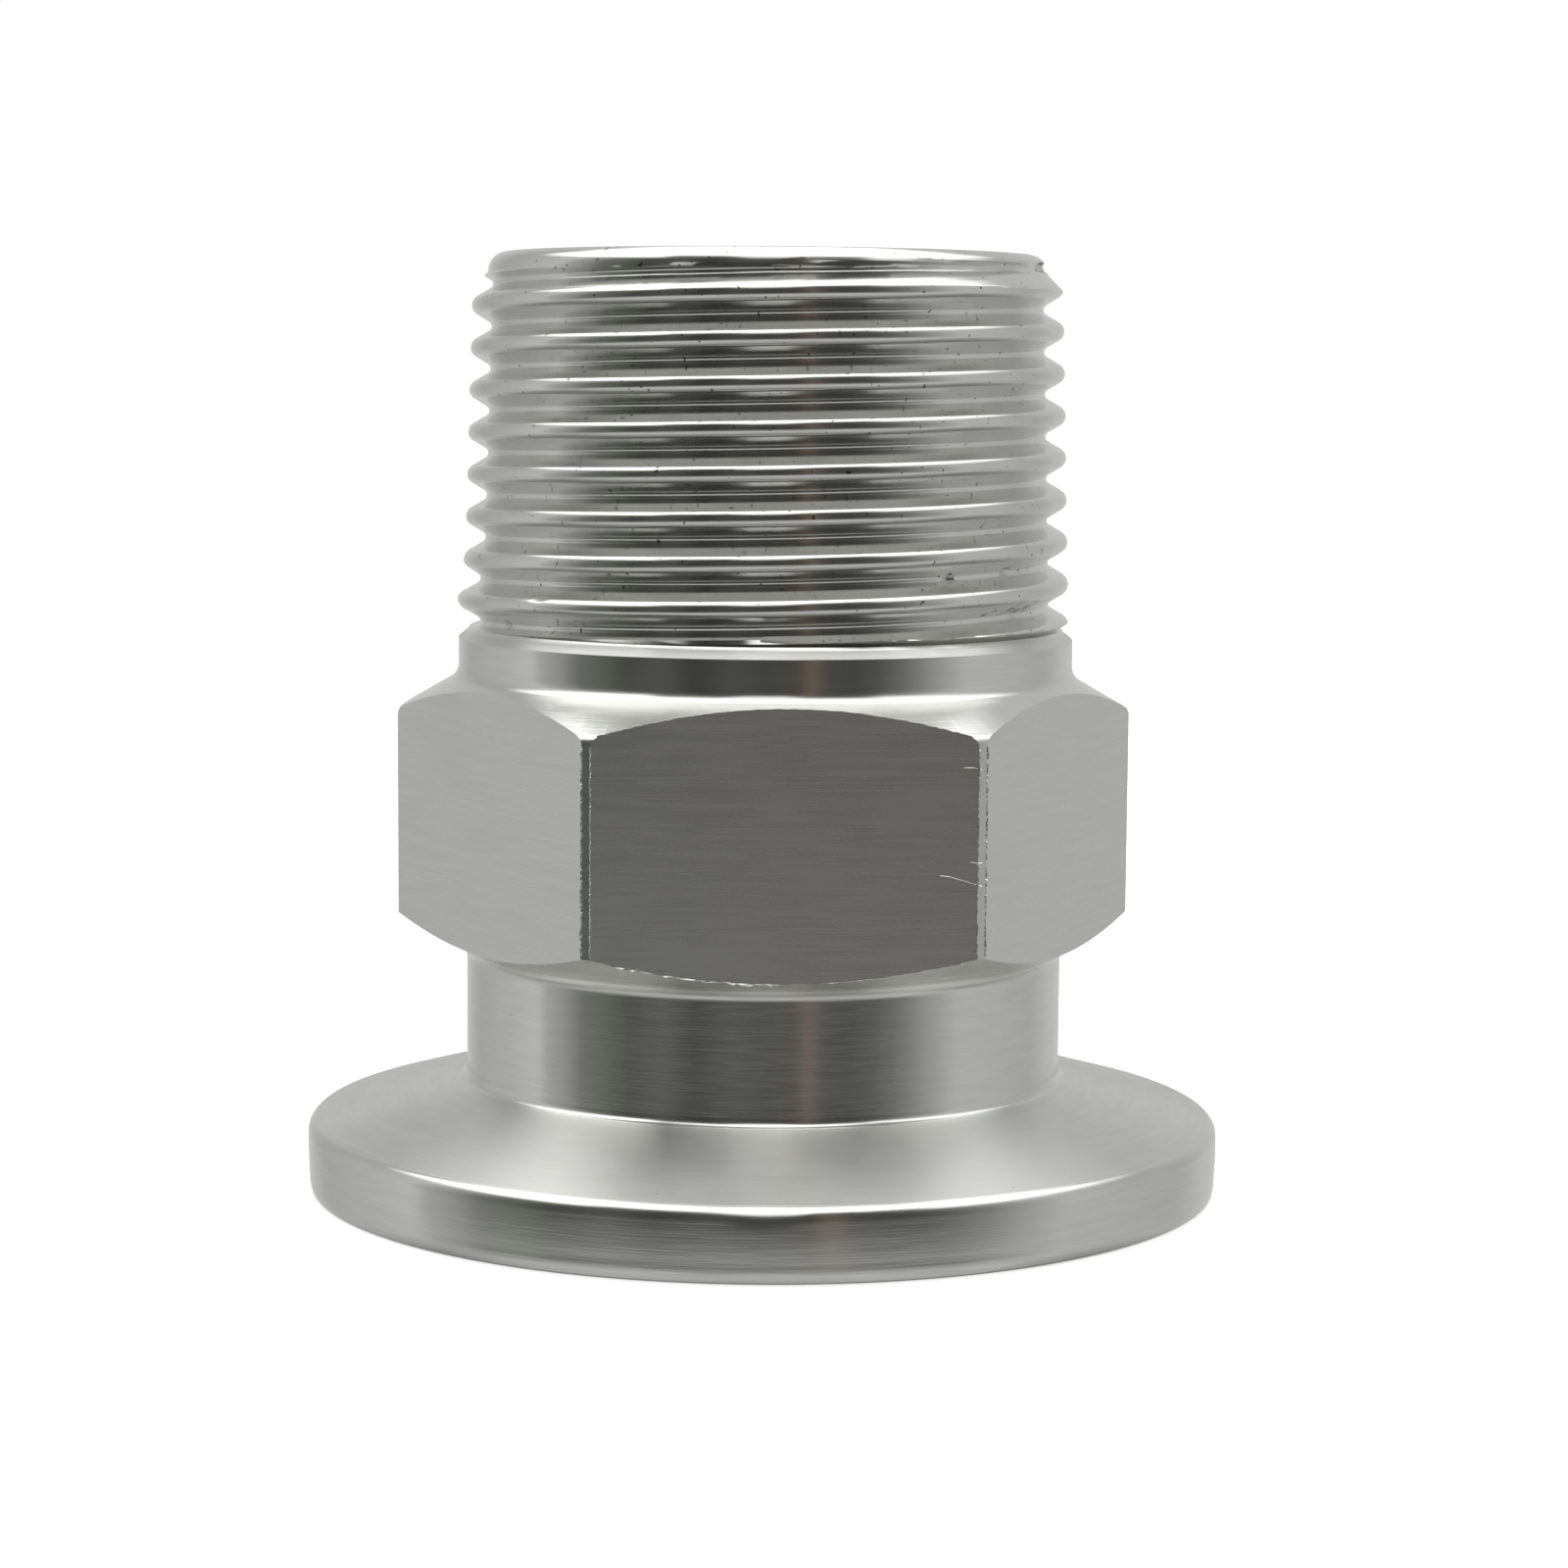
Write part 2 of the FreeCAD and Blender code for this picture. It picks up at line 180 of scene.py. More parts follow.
# The turned outline, down from the run-out groove to the foot and up the bore to the end land
turned_outline = rounded([
    (RUNOUT_RADIUS, RUNOUT_LEVEL, 0, 0),
    (STEP_RADIUS, STEP_LEVEL, 0, 0),
    (LIP_RADIUS, LIP_LEVEL, 0, 0),
    (COLLAR_RADIUS, COLLAR_TOP, COLLAR_EDGE, 3),
    (COLLAR_RADIUS, COLLAR_LEVEL, COLLAR_FILLET, 6),
    (BLANK_RADIUS, HEX_HIGH, BLANK_ROUND, 6),
    (BLANK_RADIUS, HEX_LOW, 0, 0),
    (NECK_RADIUS, NECK_HEAD, HEAD_FILLET, 6),
    (NECK_RADIUS, NECK_FOOT, FOOT_FILLET, 6),
    (rim_crown[0][0], RIM_LEVEL, RIM_ROUND, 8),
    *rim_crown,
    (rim_foot, FOOT_LEVEL, 0, 0),
    (rim_foot - FOOT_DRAFT, 0, FOOT_ROUND, 5),
    (RECESS_RADIUS + RECESS_BREAK, 0, 0, 0),
    (RECESS_RADIUS, RECESS_BREAK, 0, 0),
    (RECESS_RADIUS, RECESS_LEVEL, 0, 0),
    (BORE_RADIUS + BORE_BREAK, RECESS_LEVEL, 0, 0),
    (BORE_RADIUS, RECESS_LEVEL + BORE_BREAK, 0, 0),
    (BORE_RADIUS, TOP_LEVEL - BORE_BREAK, 0, 0),
    (BORE_RADIUS + BORE_BREAK, TOP_LEVEL, 0, 0),
    (LAND_RADIUS, TOP_LEVEL, END_ROUND, 10),
    (LAND_RADIUS, LAND_LEVEL, 0, 0),
])
body = draw_wire("adapter_body_finished", in_section(turned_outline))
bpy.ops.object.mode_set(mode="EDIT")
bpy.ops.mesh.select_all(action="SELECT")
bpy.ops.mesh.spin(steps=TURN_STEPS, angle=math.tau, center=(0, 0, 0), axis=(0, 0, 1))
bpy.ops.mesh.select_all(action="SELECT")
bpy.ops.mesh.remove_doubles(threshold=FINE)
bpy.ops.mesh.normals_make_consistent(inside=False)

# Bearing of the first flat from the right, and the turn from one flat to the next, in degrees
FIRST_FLAT, NEXT_FLAT = 30, 60


def facing(side):
    """Direction that one of the six flats faces, counted round from the right."""
    bearing = HEX_TURN + math.radians(FIRST_FLAT + NEXT_FLAT * side)
    return Vector((math.cos(bearing), math.sin(bearing), 0))


# Six flats milled on the round blank, which leave narrow strips of it at the corners
for side in range(6):
    outwards = facing(side)
    choose_faces(body, lambda centre, normal: (
        NECK_HEAD < centre.z < COLLAR_LEVEL and centre.xy.length > COLLAR_RADIUS
        and centre.dot(outwards) > BORE_RADIUS))
    bpy.ops.mesh.bisect(
        plane_co=outwards * FLAT_DISTANCE * MM, plane_no=outwards, use_fill=True,
        clear_outer=True, threshold=FINE)
bpy.ops.object.mode_set(mode="OBJECT")

# The thread is cut by one tool with rounded edges. Its form is given at the gauge plane: the
# radius of the sharp apex, the crest's and the root's rounds, and how far from the crest's
# middle a point is set on each flank.
PITCH = 1.814
GAUGE_LEVEL = 31.197
TAPER = 1 / 32
FLANK = math.radians(31)
APEX_RADIUS = 13.439
CREST_ROUND = 0.44
ROOT_ROUND = 0.23
FLANK_MIDDLE = 0.55
CREST_START = 22.970
THREAD_TURNS = 10
sharp_root = APEX_RADIUS - PITCH / 2 / math.tan(FLANK)
middle_radius = APEX_RADIUS - FLANK_MIDDLE / math.tan(FLANK)

# One turn of the form, from root to root. The crests beyond only serve to round the roots.
thread_form = [
    point for point in rounded([
        (APEX_RADIUS, -PITCH, 0, 0),
        (sharp_root, -PITCH / 2, ROOT_ROUND, 6),
        (middle_radius, -FLANK_MIDDLE, 0, 0),
        (APEX_RADIUS, 0, CREST_ROUND, 14),
        (middle_radius, FLANK_MIDDLE, 0, 0),
        (sharp_root, PITCH / 2, ROOT_ROUND, 6),
        (APEX_RADIUS, PITCH, 0, 0),
    ]) if abs(point.y) < PITCH / 2 + FINE]
form_radii, form_levels = zip(*thread_form)


def thread_radius(angle, level):
    """Radius of the full thread at an angle round the axis and a level."""
    offset = level - CREST_START - PITCH * angle / math.tau
    offset = (offset + PITCH / 2) % PITCH - PITCH / 2
    return np.interp(offset, form_levels, form_radii) + (GAUGE_LEVEL - level) * TAPER


def cylindrical(piece):
    """Radius, angle and level of every vertex, in millimetres and radians."""
    places = np.empty(len(piece.data.vertices) * 3)
    piece.data.vertices.foreach_get("co", places)
    x, y, z = places.reshape(-1, 3).T / MM
    return np.hypot(x, y), np.arctan2(y, x) % math.tau, z


def move_to(piece, radius, angle, level):
    """Puts every vertex at a new radius, angle and level."""
    places = np.stack([radius * np.cos(angle), radius * np.sin(angle), level], axis=1) * MM
    piece.data.vertices.foreach_set("co", places.ravel())
    piece.data.update()


thread = draw_wire("thread", in_section(
    (point.x, CREST_START + point.y) for point in thread_form))
screw = thread.modifiers.new("winding", "SCREW")
screw.axis = "Z"
screw.angle = math.tau
screw.screw_offset = PITCH * MM
screw.iterations = THREAD_TURNS
screw.steps = screw.render_steps = TURN_STEPS
bpy.ops.object.modifier_apply(modifier=screw.name)

# The tool lifts a little on one side of the last turn and dwells after it, which cuts a ring
# above the collar, and a shoulder of 45 degrees trims the thread under the end land
LIFT = 0.27
LIFT_LEVEL = 25.9
LIFT_REACH = 1.9
_, angle, level = cylindrical(thread)
level = level.clip(RUNOUT_LEVEL, LAND_LEVEL)
lifted = LIFT * (1 - abs(level - LIFT_LEVEL) / LIFT_REACH).clip(0) * (1 - np.cos(angle)) / 2
ring_wall = (level - RUNOUT_LEVEL) / math.tan(FLANK)
radius = np.minimum.reduce([
    thread_radius(angle, level) + lifted,
    RUNOUT_RADIUS + ring_wall,
    LAND_RADIUS + (LAND_LEVEL - level),
])
radius = np.maximum(radius, RUNOUT_RADIUS - ring_wall)

# Places where the chip tore out: bearing from the front in degrees, level, and size, which is
# both the hole's radius and its depth
FRONT = math.tau * 0.75
TORN_PLACES = (
    (37.7, 27.23, 0.20), (54.0, 27.44, 0.24), (46.0, 25.62, 0.22), (48.5, 25.90, 0.24),
    (51.8, 25.60, 0.22), (53.6, 25.92, 0.30), (57.0, 25.68, 0.22), (59.4, 25.94, 0.30),
    (-45.5, 26.28, 0.22), (-59.9, 24.98, 0.24))
for bearing, torn_level, size in TORN_PLACES:
    across = wrapped(angle - FRONT - math.radians(bearing)) * COLLAR_RADIUS
    radius -= size * (1 - np.hypot(across, level - torn_level) / size).clip(0)
move_to(thread, radius, angle, level)

# The last groove runs out through the end land, with a small step to the right of the front
# where the tool went in
NOTCH_BEARING = math.radians(-13)
NOTCH_HALF_WIDTH = math.radians(3.5)
NOTCH_LEVEL = 40.15
NOTCH_HALF_HEIGHT = 0.2
NOTCH_DEPTH = 0.3
radius, angle, level = cylindrical(body)
at_end = (level > LAND_LEVEL - FINE / MM) & (radius > LAND_RADIUS - END_ROUND)
radius[at_end] = np.minimum(radius, thread_radius(angle, level))[at_end]
in_notch = (
    (radius > LAND_RADIUS - END_ROUND)
    & (abs(wrapped(angle - NOTCH_BEARING)) < NOTCH_HALF_WIDTH)
    & (abs(level - NOTCH_LEVEL) < NOTCH_HALF_HEIGHT))
radius[in_notch] -= NOTCH_DEPTH

# The rim was struck at one place of its upper edge, at the front
DENT_BEARING = math.radians(0.3)
DENT_HALF_WIDTH = math.radians(3.4)
DENT_LEVEL = 2.4
DENT_REACH = 1.0
DENT_DEPTH = 0.09
across = (angle - FRONT - DENT_BEARING) / DENT_HALF_WIDTH
upwards = (level - DENT_LEVEL) / (RIM_LEVEL - DENT_LEVEL)
struck = (2 - 2 * across ** 2).clip(0, 1) * upwards.clip(0, 1)
radius -= DENT_DEPTH * struck * (radius > RIM_RADIUS - DENT_REACH)
move_to(body, radius, angle, level)

# The thread and the rest become one closed skin, smooth up to its turned and milled edges
SHARP_ABOVE = math.radians(24)
bpy.ops.object.select_all(action="DESELECT")
thread.select_set(True)
body.select_set(True)
bpy.context.view_layer.objects.active = body
bpy.ops.object.join()
bpy.ops.object.mode_set(mode="EDIT")
bpy.ops.mesh.select_all(action="SELECT")
bpy.ops.mesh.remove_doubles(threshold=FINE)
bpy.ops.mesh.normals_make_consistent(inside=False)
bpy.ops.object.mode_set(mode="OBJECT")
bpy.ops.object.shade_smooth_by_angle(angle=SHARP_ABOVE)
weighted = body.modifiers.new("even_shading", "WEIGHTED_NORMAL")
weighted.keep_sharp = True
bpy.ops.object.modifier_apply(modifier=weighted.name)


def add_node(tree, kind, **settings):
    """A new node with its settings."""
    node = tree.nodes.new(kind)
    for name, value in settings.items():
        setattr(node, name, value)
    return node


def feed(tree, socket, value):
    """Links an output to a socket, or sets a plain number or colour on it."""
    if isinstance(value, bpy.types.NodeSocket):
        tree.links.new(value, socket)
    elif isinstance(value, tuple) and socket.type == "RGBA":
        socket.default_value = (*value, 1)
    else:
        socket.default_value = value


def feed_all(tree, sockets, values):
    """Feeds as many sockets as there are values."""
    for socket, value in zip(sockets, values):
        feed(tree, socket, value)


def add_math(tree, operation, *values):
    """Result of one step of arithmetic."""
    node = add_node(tree, "ShaderNodeMath", operation=operation)
    feed_all(tree, node.inputs, values)
    return node.outputs[0]


def add_vector(tree, operation, *values):
    """Result of one step of arithmetic on directions."""
    node = add_node(tree, "ShaderNodeVectorMath", operation=operation)
    feed_all(tree, node.inputs, values)
    return node.outputs["Value" if operation == "LENGTH" else "Vector"]


def add_blend(tree, share, first, second):
    """Colour between two, by a share of the second."""
    node = add_node(tree, "ShaderNodeMix", data_type="RGBA")
    feed_all(tree, (node.inputs[0], node.inputs[6], node.inputs[7]), (share, first, second))
    return node.outputs[2]


def add_range(tree, value, lowest, highest, out_lowest=0.0, out_highest=1.0):
    """Value brought from one range to another, and kept inside it."""
    node = add_node(tree, "ShaderNodeMapRange")
    feed_all(tree, node.inputs, (value, lowest, highest, out_lowest, out_highest))
    return node.outputs["Result"]


def add_noise(tree, place, scale, detail):
    """Soft noise that changes from place to place."""
    node = add_node(tree, "ShaderNodeTexNoise")
    feed(tree, node.inputs["Vector"], place)
    feed(tree, node.inputs["Scale"], scale)
    feed(tree, node.inputs["Detail"], detail)
    return node.outputs["Fac"]


def place_on_piece(tree):
    """The place on the piece, in metres, that every pattern is laid out by."""
    return add_node(tree, "ShaderNodeTexCoord").outputs["Object"]


def new_group(name, numbers, results):
    """An empty node group with number inputs and number outputs."""
    group = bpy.data.node_groups.new(name, "ShaderNodeTree")
    for title, number in numbers.items():
        socket = group.interface.new_socket(title, in_out="INPUT", socket_type="NodeSocketFloat")
        socket.default_value = number
    for title in results:
        group.interface.new_socket(title, in_out="OUTPUT", socket_type="NodeSocketFloat")
    return group, group.nodes.new("NodeGroupInput"), group.nodes.new("NodeGroupOutput")


# Tool lines run round the axis, whatever the slope of the surface: the pattern is stretched
# along the direction round the axis, and set by the way that the cutter has gone. The slope
# share is how much of its way outwards counts. Broad lines are as many times fewer as their
# share says.
LINE_SHARES = {"Fine": 1.0, "Broad": 0.22}
LINE_SOFTNESS = (0.3, 0.7)
tool_lines, given, result = new_group(
    "tool_lines", {"Lines per mm": 5.0, "Breaks round": 4.0, "Slope share": 1.2}, LINE_SHARES)
place = place_on_piece(tool_lines)
axes = add_node(tool_lines, "ShaderNodeSeparateXYZ")
feed(tool_lines, axes.inputs[0], place)
flat_place = add_vector(tool_lines, "MULTIPLY", place, (1, 1, 0))
travel = add_math(
    tool_lines, "MULTIPLY_ADD", add_vector(tool_lines, "LENGTH", flat_place),
    given.outputs["Slope share"], axes.outputs["Z"])
travel = add_math(tool_lines, "DIVIDE", travel, MM)
lines_passed = add_math(tool_lines, "MULTIPLY", travel, given.outputs["Lines per mm"])
stretched = add_node(tool_lines, "ShaderNodeVectorMath", operation="SCALE")
feed(tool_lines, stretched.inputs[0], add_vector(tool_lines, "NORMALIZE", flat_place))
feed(tool_lines, stretched.inputs["Scale"], given.outputs["Breaks round"])
for title, share in LINE_SHARES.items():
    upwards = add_node(tool_lines, "ShaderNodeCombineXYZ")
    feed(tool_lines, upwards.inputs["Z"], add_math(tool_lines, "MULTIPLY", lines_passed, share))
    spot = add_vector(tool_lines, "ADD", stretched.outputs[0], upwards.outputs[0])
    noise = add_noise(tool_lines, spot, scale=1, detail=2)
    feed(tool_lines, result.inputs[title], add_range(tool_lines, noise, *LINE_SOFTNESS))

# Handling leaves soft smudges, where the shine is a little dulled
SMUDGE_SOFTNESS = (0.35, 0.75)
handling_marks, given, result = new_group("handling_marks", {"Smudges per mm": 0.3}, ("Smudges",))
smudge_scale = add_math(handling_marks, "DIVIDE", given.outputs["Smudges per mm"], MM)
smudge = add_noise(handling_marks, place_on_piece(handling_marks), smudge_scale, detail=4)
feed(handling_marks, result.inputs["Smudges"], add_range(
    handling_marks, smudge, *SMUDGE_SOFTNESS))

# The cutter tears small pits in the steel. They are painted as dark spots on a smooth surface:
# the dirt they hold, and painted shade of their hollows, which the mesh doesn't have
PIT_SOFTNESS = 0.03
torn_pits, given, result = new_group("torn_pits", {"Pits per mm": 4.0, "Share": 0.3}, ("Pits",))
pit_scale = add_math(torn_pits, "DIVIDE", given.outputs["Pits per mm"], MM)
pit = add_noise(torn_pits, place_on_piece(torn_pits), pit_scale, detail=1)
threshold = add_math(torn_pits, "SUBTRACT", 1.0, given.outputs["Share"])
feed(torn_pits, result.inputs["Pits"], add_range(
    torn_pits, pit, threshold, add_math(torn_pits, "ADD", threshold, PIT_SOFTNESS)))

# Colours of the steel, and what dulls and roughens it. The last is the pits' colour: their dirt
# and painted shade.
CLEAN, DULL, PIT_DIRT_AND_SHADE = (0.735, 0.74, 0.71), (0.66, 0.665, 0.635), (0.22, 0.22, 0.2)
LINE_SHADE = 0.35
SMUDGE_SHADE = 0.3
SHADE_ROUGHNESS = 0.08
BROAD_HEIGHT = 1.5
QUARTER_TURN = 0.25


def steel_finish(name, roughness, one_way, lines_per_mm, breaks_round, slope, line_depth, pitted):
    """Stainless steel cut round the axis: reflections spread across the tool lines."""
    finish = bpy.data.materials.new(name)
    finish.use_nodes = True
    tree = finish.node_tree
    shader = tree.nodes["Principled BSDF"]
    shader.inputs["Metallic"].default_value = 1
    shader.inputs["Anisotropic"].default_value = one_way
    shader.inputs["Anisotropic Rotation"].default_value = QUARTER_TURN
    round_axis = add_vector(tree, "CROSS_PRODUCT", (0, 0, 1), place_on_piece(tree))
    feed(tree, shader.inputs["Tangent"], round_axis)
    lines = add_node(tree, "ShaderNodeGroup", node_tree=tool_lines)
    lines.inputs["Lines per mm"].default_value = lines_per_mm
    lines.inputs["Breaks round"].default_value = breaks_round
    lines.inputs["Slope share"].default_value = slope
    handled = add_node(tree, "ShaderNodeGroup", node_tree=handling_marks)
    pits = add_node(tree, "ShaderNodeGroup", node_tree=torn_pits)
    pits.inputs["Share"].default_value = pitted
    shade = add_math(tree, "MULTIPLY", lines.outputs["Fine"], LINE_SHADE)
    shade = add_math(tree, "MULTIPLY_ADD", lines.outputs["Broad"], LINE_SHADE, shade)
    shade = add_math(tree, "MULTIPLY_ADD", handled.outputs["Smudges"], SMUDGE_SHADE, shade)
    steel = add_blend(tree, shade, CLEAN, DULL)
    # Pits are painted dark: their dirt, and painted shade of hollows that the surface doesn't
    # have
    feed(tree, shader.inputs["Base Color"], add_blend(tree, pits.outputs["Pits"], steel, PIT_DIRT_AND_SHADE))
    rough = add_math(tree, "MULTIPLY_ADD", shade, SHADE_ROUGHNESS, roughness)
    feed(tree, shader.inputs["Roughness"], rough)
    bump = add_node(tree, "ShaderNodeBump")
    bump.inputs["Distance"].default_value = line_depth * MM
    feed(tree, bump.inputs["Height"], add_math(
        tree, "MULTIPLY_ADD", lines.outputs["Broad"], BROAD_HEIGHT, lines.outputs["Fine"]))
    feed(tree, shader.inputs["Normal"], bump.outputs[0])
    return finish


turned_stainless = steel_finish(
    "turned_stainless", roughness=0.13, one_way=0.88, lines_per_mm=11.0, breaks_round=6.0,
    slope=1.2, line_depth=0.0013, pitted=0.18)
milled_stainless = steel_finish(
    "milled_stainless", roughness=0.24, one_way=0.80, lines_per_mm=10.0, breaks_round=4.0,
    slope=0.0, line_depth=0.0009, pitted=0.18)
threaded_stainless = steel_finish(
    "threaded_stainless", roughness=0.11, one_way=0.80, lines_per_mm=3.0, breaks_round=8.0,
    slope=1.2, line_depth=0.0002, pitted=0.28)
bored_stainless = steel_finish(
    "bored_stainless", roughness=0.28, one_way=0.90, lines_per_mm=4.0, breaks_round=4.0,
    slope=1.2, line_depth=0.0030, pitted=0.18)
faced_stainless = steel_finish(
    "faced_stainless", roughness=0.30, one_way=0.94, lines_per_mm=6.0, breaks_round=6.0,
    slope=1.2, line_depth=0.0022, pitted=0.18)
body.data.materials.clear()
for finish in (
        turned_stainless, milled_stainless, threaded_stainless, bored_stainless,
        faced_stainless):
    body.data.materials.append(finish)

FLUSH = 0.001  # how far a flat's faces may be from its plane
SQUARE = 0.9999  # least cosine between a flat's faces and the way that it faces
NEARLY_UP = 0.9  # least rise of a face on the flange's back
LIP_MARGIN = 0.02


def on_flat(centre, normal):
    """Whether a face lies in one of the six milled flats."""
    bearing = math.atan2(normal.y, normal.x) - HEX_TURN
    outwards = facing(round((bearing - math.radians(FIRST_FLAT)) / math.radians(NEXT_FLAT)))
    return (abs(centre.dot(outwards) - FLAT_DISTANCE) < FLUSH
            and normal.dot(outwards) > SQUARE and HEX_LOW < centre.z < HEX_HIGH)


def on_thread(centre, normal):
    """Whether a face is part of the thread or the free end."""
    return centre.z > RUNOUT_LEVEL and centre.xy.length > BORE_RADIUS + BORE_BREAK


def in_bore(centre, normal):
    """Whether a face is inside the bore or the recess, or on the sealing face."""
    return centre.xy.dot(normal.xy) < 0 and centre.xy.length < RECESS_RADIUS or centre.z < FINE


def left_rough(centre, normal):
    """Whether a face is on the flange's back, or the lip between the collar and the thread."""
    return (centre.z < NECK_FOOT and normal.z > NEARLY_UP
            or COLLAR_TOP - LIP_MARGIN < centre.z < LIP_LEVEL
            and centre.xy.length > RUNOUT_RADIUS)


# All of it is turned, apart from these faces, in the order of their finishes
for index, wanted in enumerate((on_flat, on_thread, in_bore, left_rough), 1):
    choose_faces(body, wanted)
    body.active_material_index = index
    bpy.ops.object.material_slot_assign()
bpy.ops.object.mode_set(mode="OBJECT")

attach(body, "root")
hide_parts("adapter_body")

# Edge burrs
# The cutter that milled the flats pushed thin ragged fins of steel up along their edges, and
# nobody filed them off. They stand at the two corners and the two curved edges of the front
# flat, with three stray hairs by its right corner. They are part of the body's own steel.
BURR_THICKNESS = 0.012
BURR_ROOT = 0.03
BURR_REACH = 0.03
FINE_RAGGED = 0.035
CORNER_RAGGED = 0.045
TORN_RAGGED = 0.11
HAIR_RAGGED = 0.02
EVEN_SHARE = 0.2
# How far a corner's fin starts and ends from the middle of the corner, in degrees round
FIN_FOOT, FIN_TIP = 0.42, 0.80
# Stray hairs, as places along the front flat and levels
HAIRS = (
    ((6.30, 15.45), (6.70, 15.42), (7.10, 15.30), (7.50, 15.18), (8.02, 15.01)),
    ((7.53, 16.01), (7.80, 15.97), (8.01, 15.97)),
    ((7.24, 19.84), (7.60, 19.86), (7.96, 19.76)))


def raise_burr(name, points, rise, ragged, seed):
    """Ragged fin along a line of points, raised by a vector in millimetres."""
    fin = draw_wire(name, points)
    bpy.ops.object.mode_set(mode="EDIT")
    bpy.ops.mesh.select_all(action="SELECT")
    bpy.ops.mesh.extrude_edges_move(TRANSFORM_OT_translate={"value": rise * MM})
    bpy.ops.transform.vertex_random(offset=ragged * MM, uniform=EVEN_SHARE, seed=seed)
    bpy.ops.mesh.select_all(action="SELECT")
    bpy.ops.mesh.solidify(thickness=BURR_THICKNESS * MM)
    bpy.ops.object.mode_set(mode="OBJECT")
    return fin


def at_corner(corner, offset, radius, level):
    """Point near a corner of the hexagon, by degrees round from the corner's middle."""
    bearing = HEX_TURN + math.radians(offset - NEXT_FLAT * corner)
    return Vector((radius * math.cos(bearing), radius * math.sin(bearing), level))


def in_front_flat(along, level, depth):
    """Point at a small depth in the front flat, a distance along it, and a level."""
    turn = Matrix.Rotation(HEX_TURN - math.radians(90), 3, "Z")
    return turn @ Vector((FLAT_DISTANCE - depth, along, level))


def on_low_edge(along):
    """Point on the lower curved edge of the front flat, where it cuts the cone below."""
    slope = (HEX_LOW - NECK_HEAD) / (BLANK_RADIUS - NECK_RADIUS)
    reach = math.hypot(FLAT_DISTANCE, along)
    return in_front_flat(along, NECK_HEAD + (reach - NECK_RADIUS) * slope, BURR_ROOT)


def on_high_edge(along):
    """Point on the upper curved edge of the front flat, where it cuts the cone above."""
    slope = (COLLAR_LEVEL - HEX_HIGH) / (BLANK_RADIUS - COLLAR_RADIUS)
    reach = math.hypot(FLAT_DISTANCE, along)
    return in_front_flat(along, COLLAR_LEVEL - (reach - COLLAR_RADIUS) * slope, BURR_ROOT)


corner_levels = np.linspace(HEX_LOW + 0.05, HEX_HIGH - 0.35, 110)
whole_edge = np.linspace(-7.6, 7.6, 90)
torn_stretch = np.linspace(-7.0, -0.5, 30)
burrs = [
    raise_burr("edge_burrs_low", [on_low_edge(along) for along in whole_edge],
               Vector((0.0, -0.03, -0.02)), FINE_RAGGED, seed=5),
    raise_burr("edge_burrs_torn", [on_low_edge(along) for along in torn_stretch],
               Vector((0.0, -0.08, -0.05)), TORN_RAGGED, seed=11),
    raise_burr("edge_burrs_high", [on_high_edge(along) for along in whole_edge],
               Vector((0.0, -0.04, 0.03)), FINE_RAGGED, seed=6),
]
for corner, side, seed in ((1, 1, 3), (1, -1, 8), (2, 1, 4), (2, -1, 9)):
    foot, tip = (
        [at_corner(corner, side * offset, radius, level) for level in corner_levels]
        for offset, radius in (
            (FIN_FOOT, BLANK_RADIUS - BURR_ROOT), (FIN_TIP, BLANK_RADIUS + BURR_REACH)))
    burrs.append(raise_burr("edge_burrs_corner", foot, tip[0] - foot[0], CORNER_RAGGED, seed))
for hair in HAIRS:
    burrs.append(raise_burr(
        "edge_burrs_hair", [in_front_flat(*place, BURR_ROOT / 2) for place in hair],
        Vector((0, -0.035, -0.03)), HAIR_RAGGED, seed=14))
bpy.ops.object.select_all(action="DESELECT")
for burr in burrs:
    burr.select_set(True)
bpy.context.view_layer.objects.active = burrs[0]
bpy.ops.object.join()
edge_burrs = bpy.context.object
edge_burrs.name = edge_burrs.data.name = "edge_burrs"
edge_burrs.data.materials.append(milled_stainless)
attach(edge_burrs, "root")

# Floor
# A plain pale sheet of paper under the piece, large enough to run out of view. It glows a
# little, to be as white as the photograph's, and the steel mirrors the tent instead of it.
bpy.ops.object.select_all(action="DESELECT")
bpy.ops.mesh.primitive_plane_add(size=4)
floor = bpy.context.object
floor.name = floor.data.name = "floor"
floor.visible_glossy = False
paper = bpy.data.materials.new("floor_paper")
paper.use_nodes = True
sheet = paper.node_tree.nodes["Principled BSDF"]
sheet.inputs["Base Color"].default_value = (0.9, 0.9, 0.9, 1)
sheet.inputs["Roughness"].default_value = 0.9
sheet.inputs["Specular IOR Level"].default_value = 0
sheet.inputs["Emission Color"].default_value = (1, 1, 1, 1)
sheet.inputs["Emission Strength"].default_value = 0.4
floor.data.materials.append(paper)

# Light tent
# White cloth at the sides, behind and above, open to a darker room on the camera's side. The
# piece is lit and mirrored by it alone.
TENT_STRENGTH = 0.93
BACKDROP = (1.1, 1.1, 1.1)
world = bpy.data.worlds.new("light_tent")
world.use_nodes = True
bpy.context.scene.world = world
tent = world.node_tree
tent.nodes.clear()


def tent_ramp(position, stops):
    """Colour that changes through stops of (position, colour)."""
    node = add_node(tent, "ShaderNodeValToRGB")
    feed(tent, node.inputs["Fac"], position)
    elements = node.color_ramp.elements
    while len(elements) < len(stops):
        elements.new(1)
    for element, (place, colour) in zip(elements, stops):
        element.position = place
        element.color = (*colour, 1)
    return node.outputs["Color"]


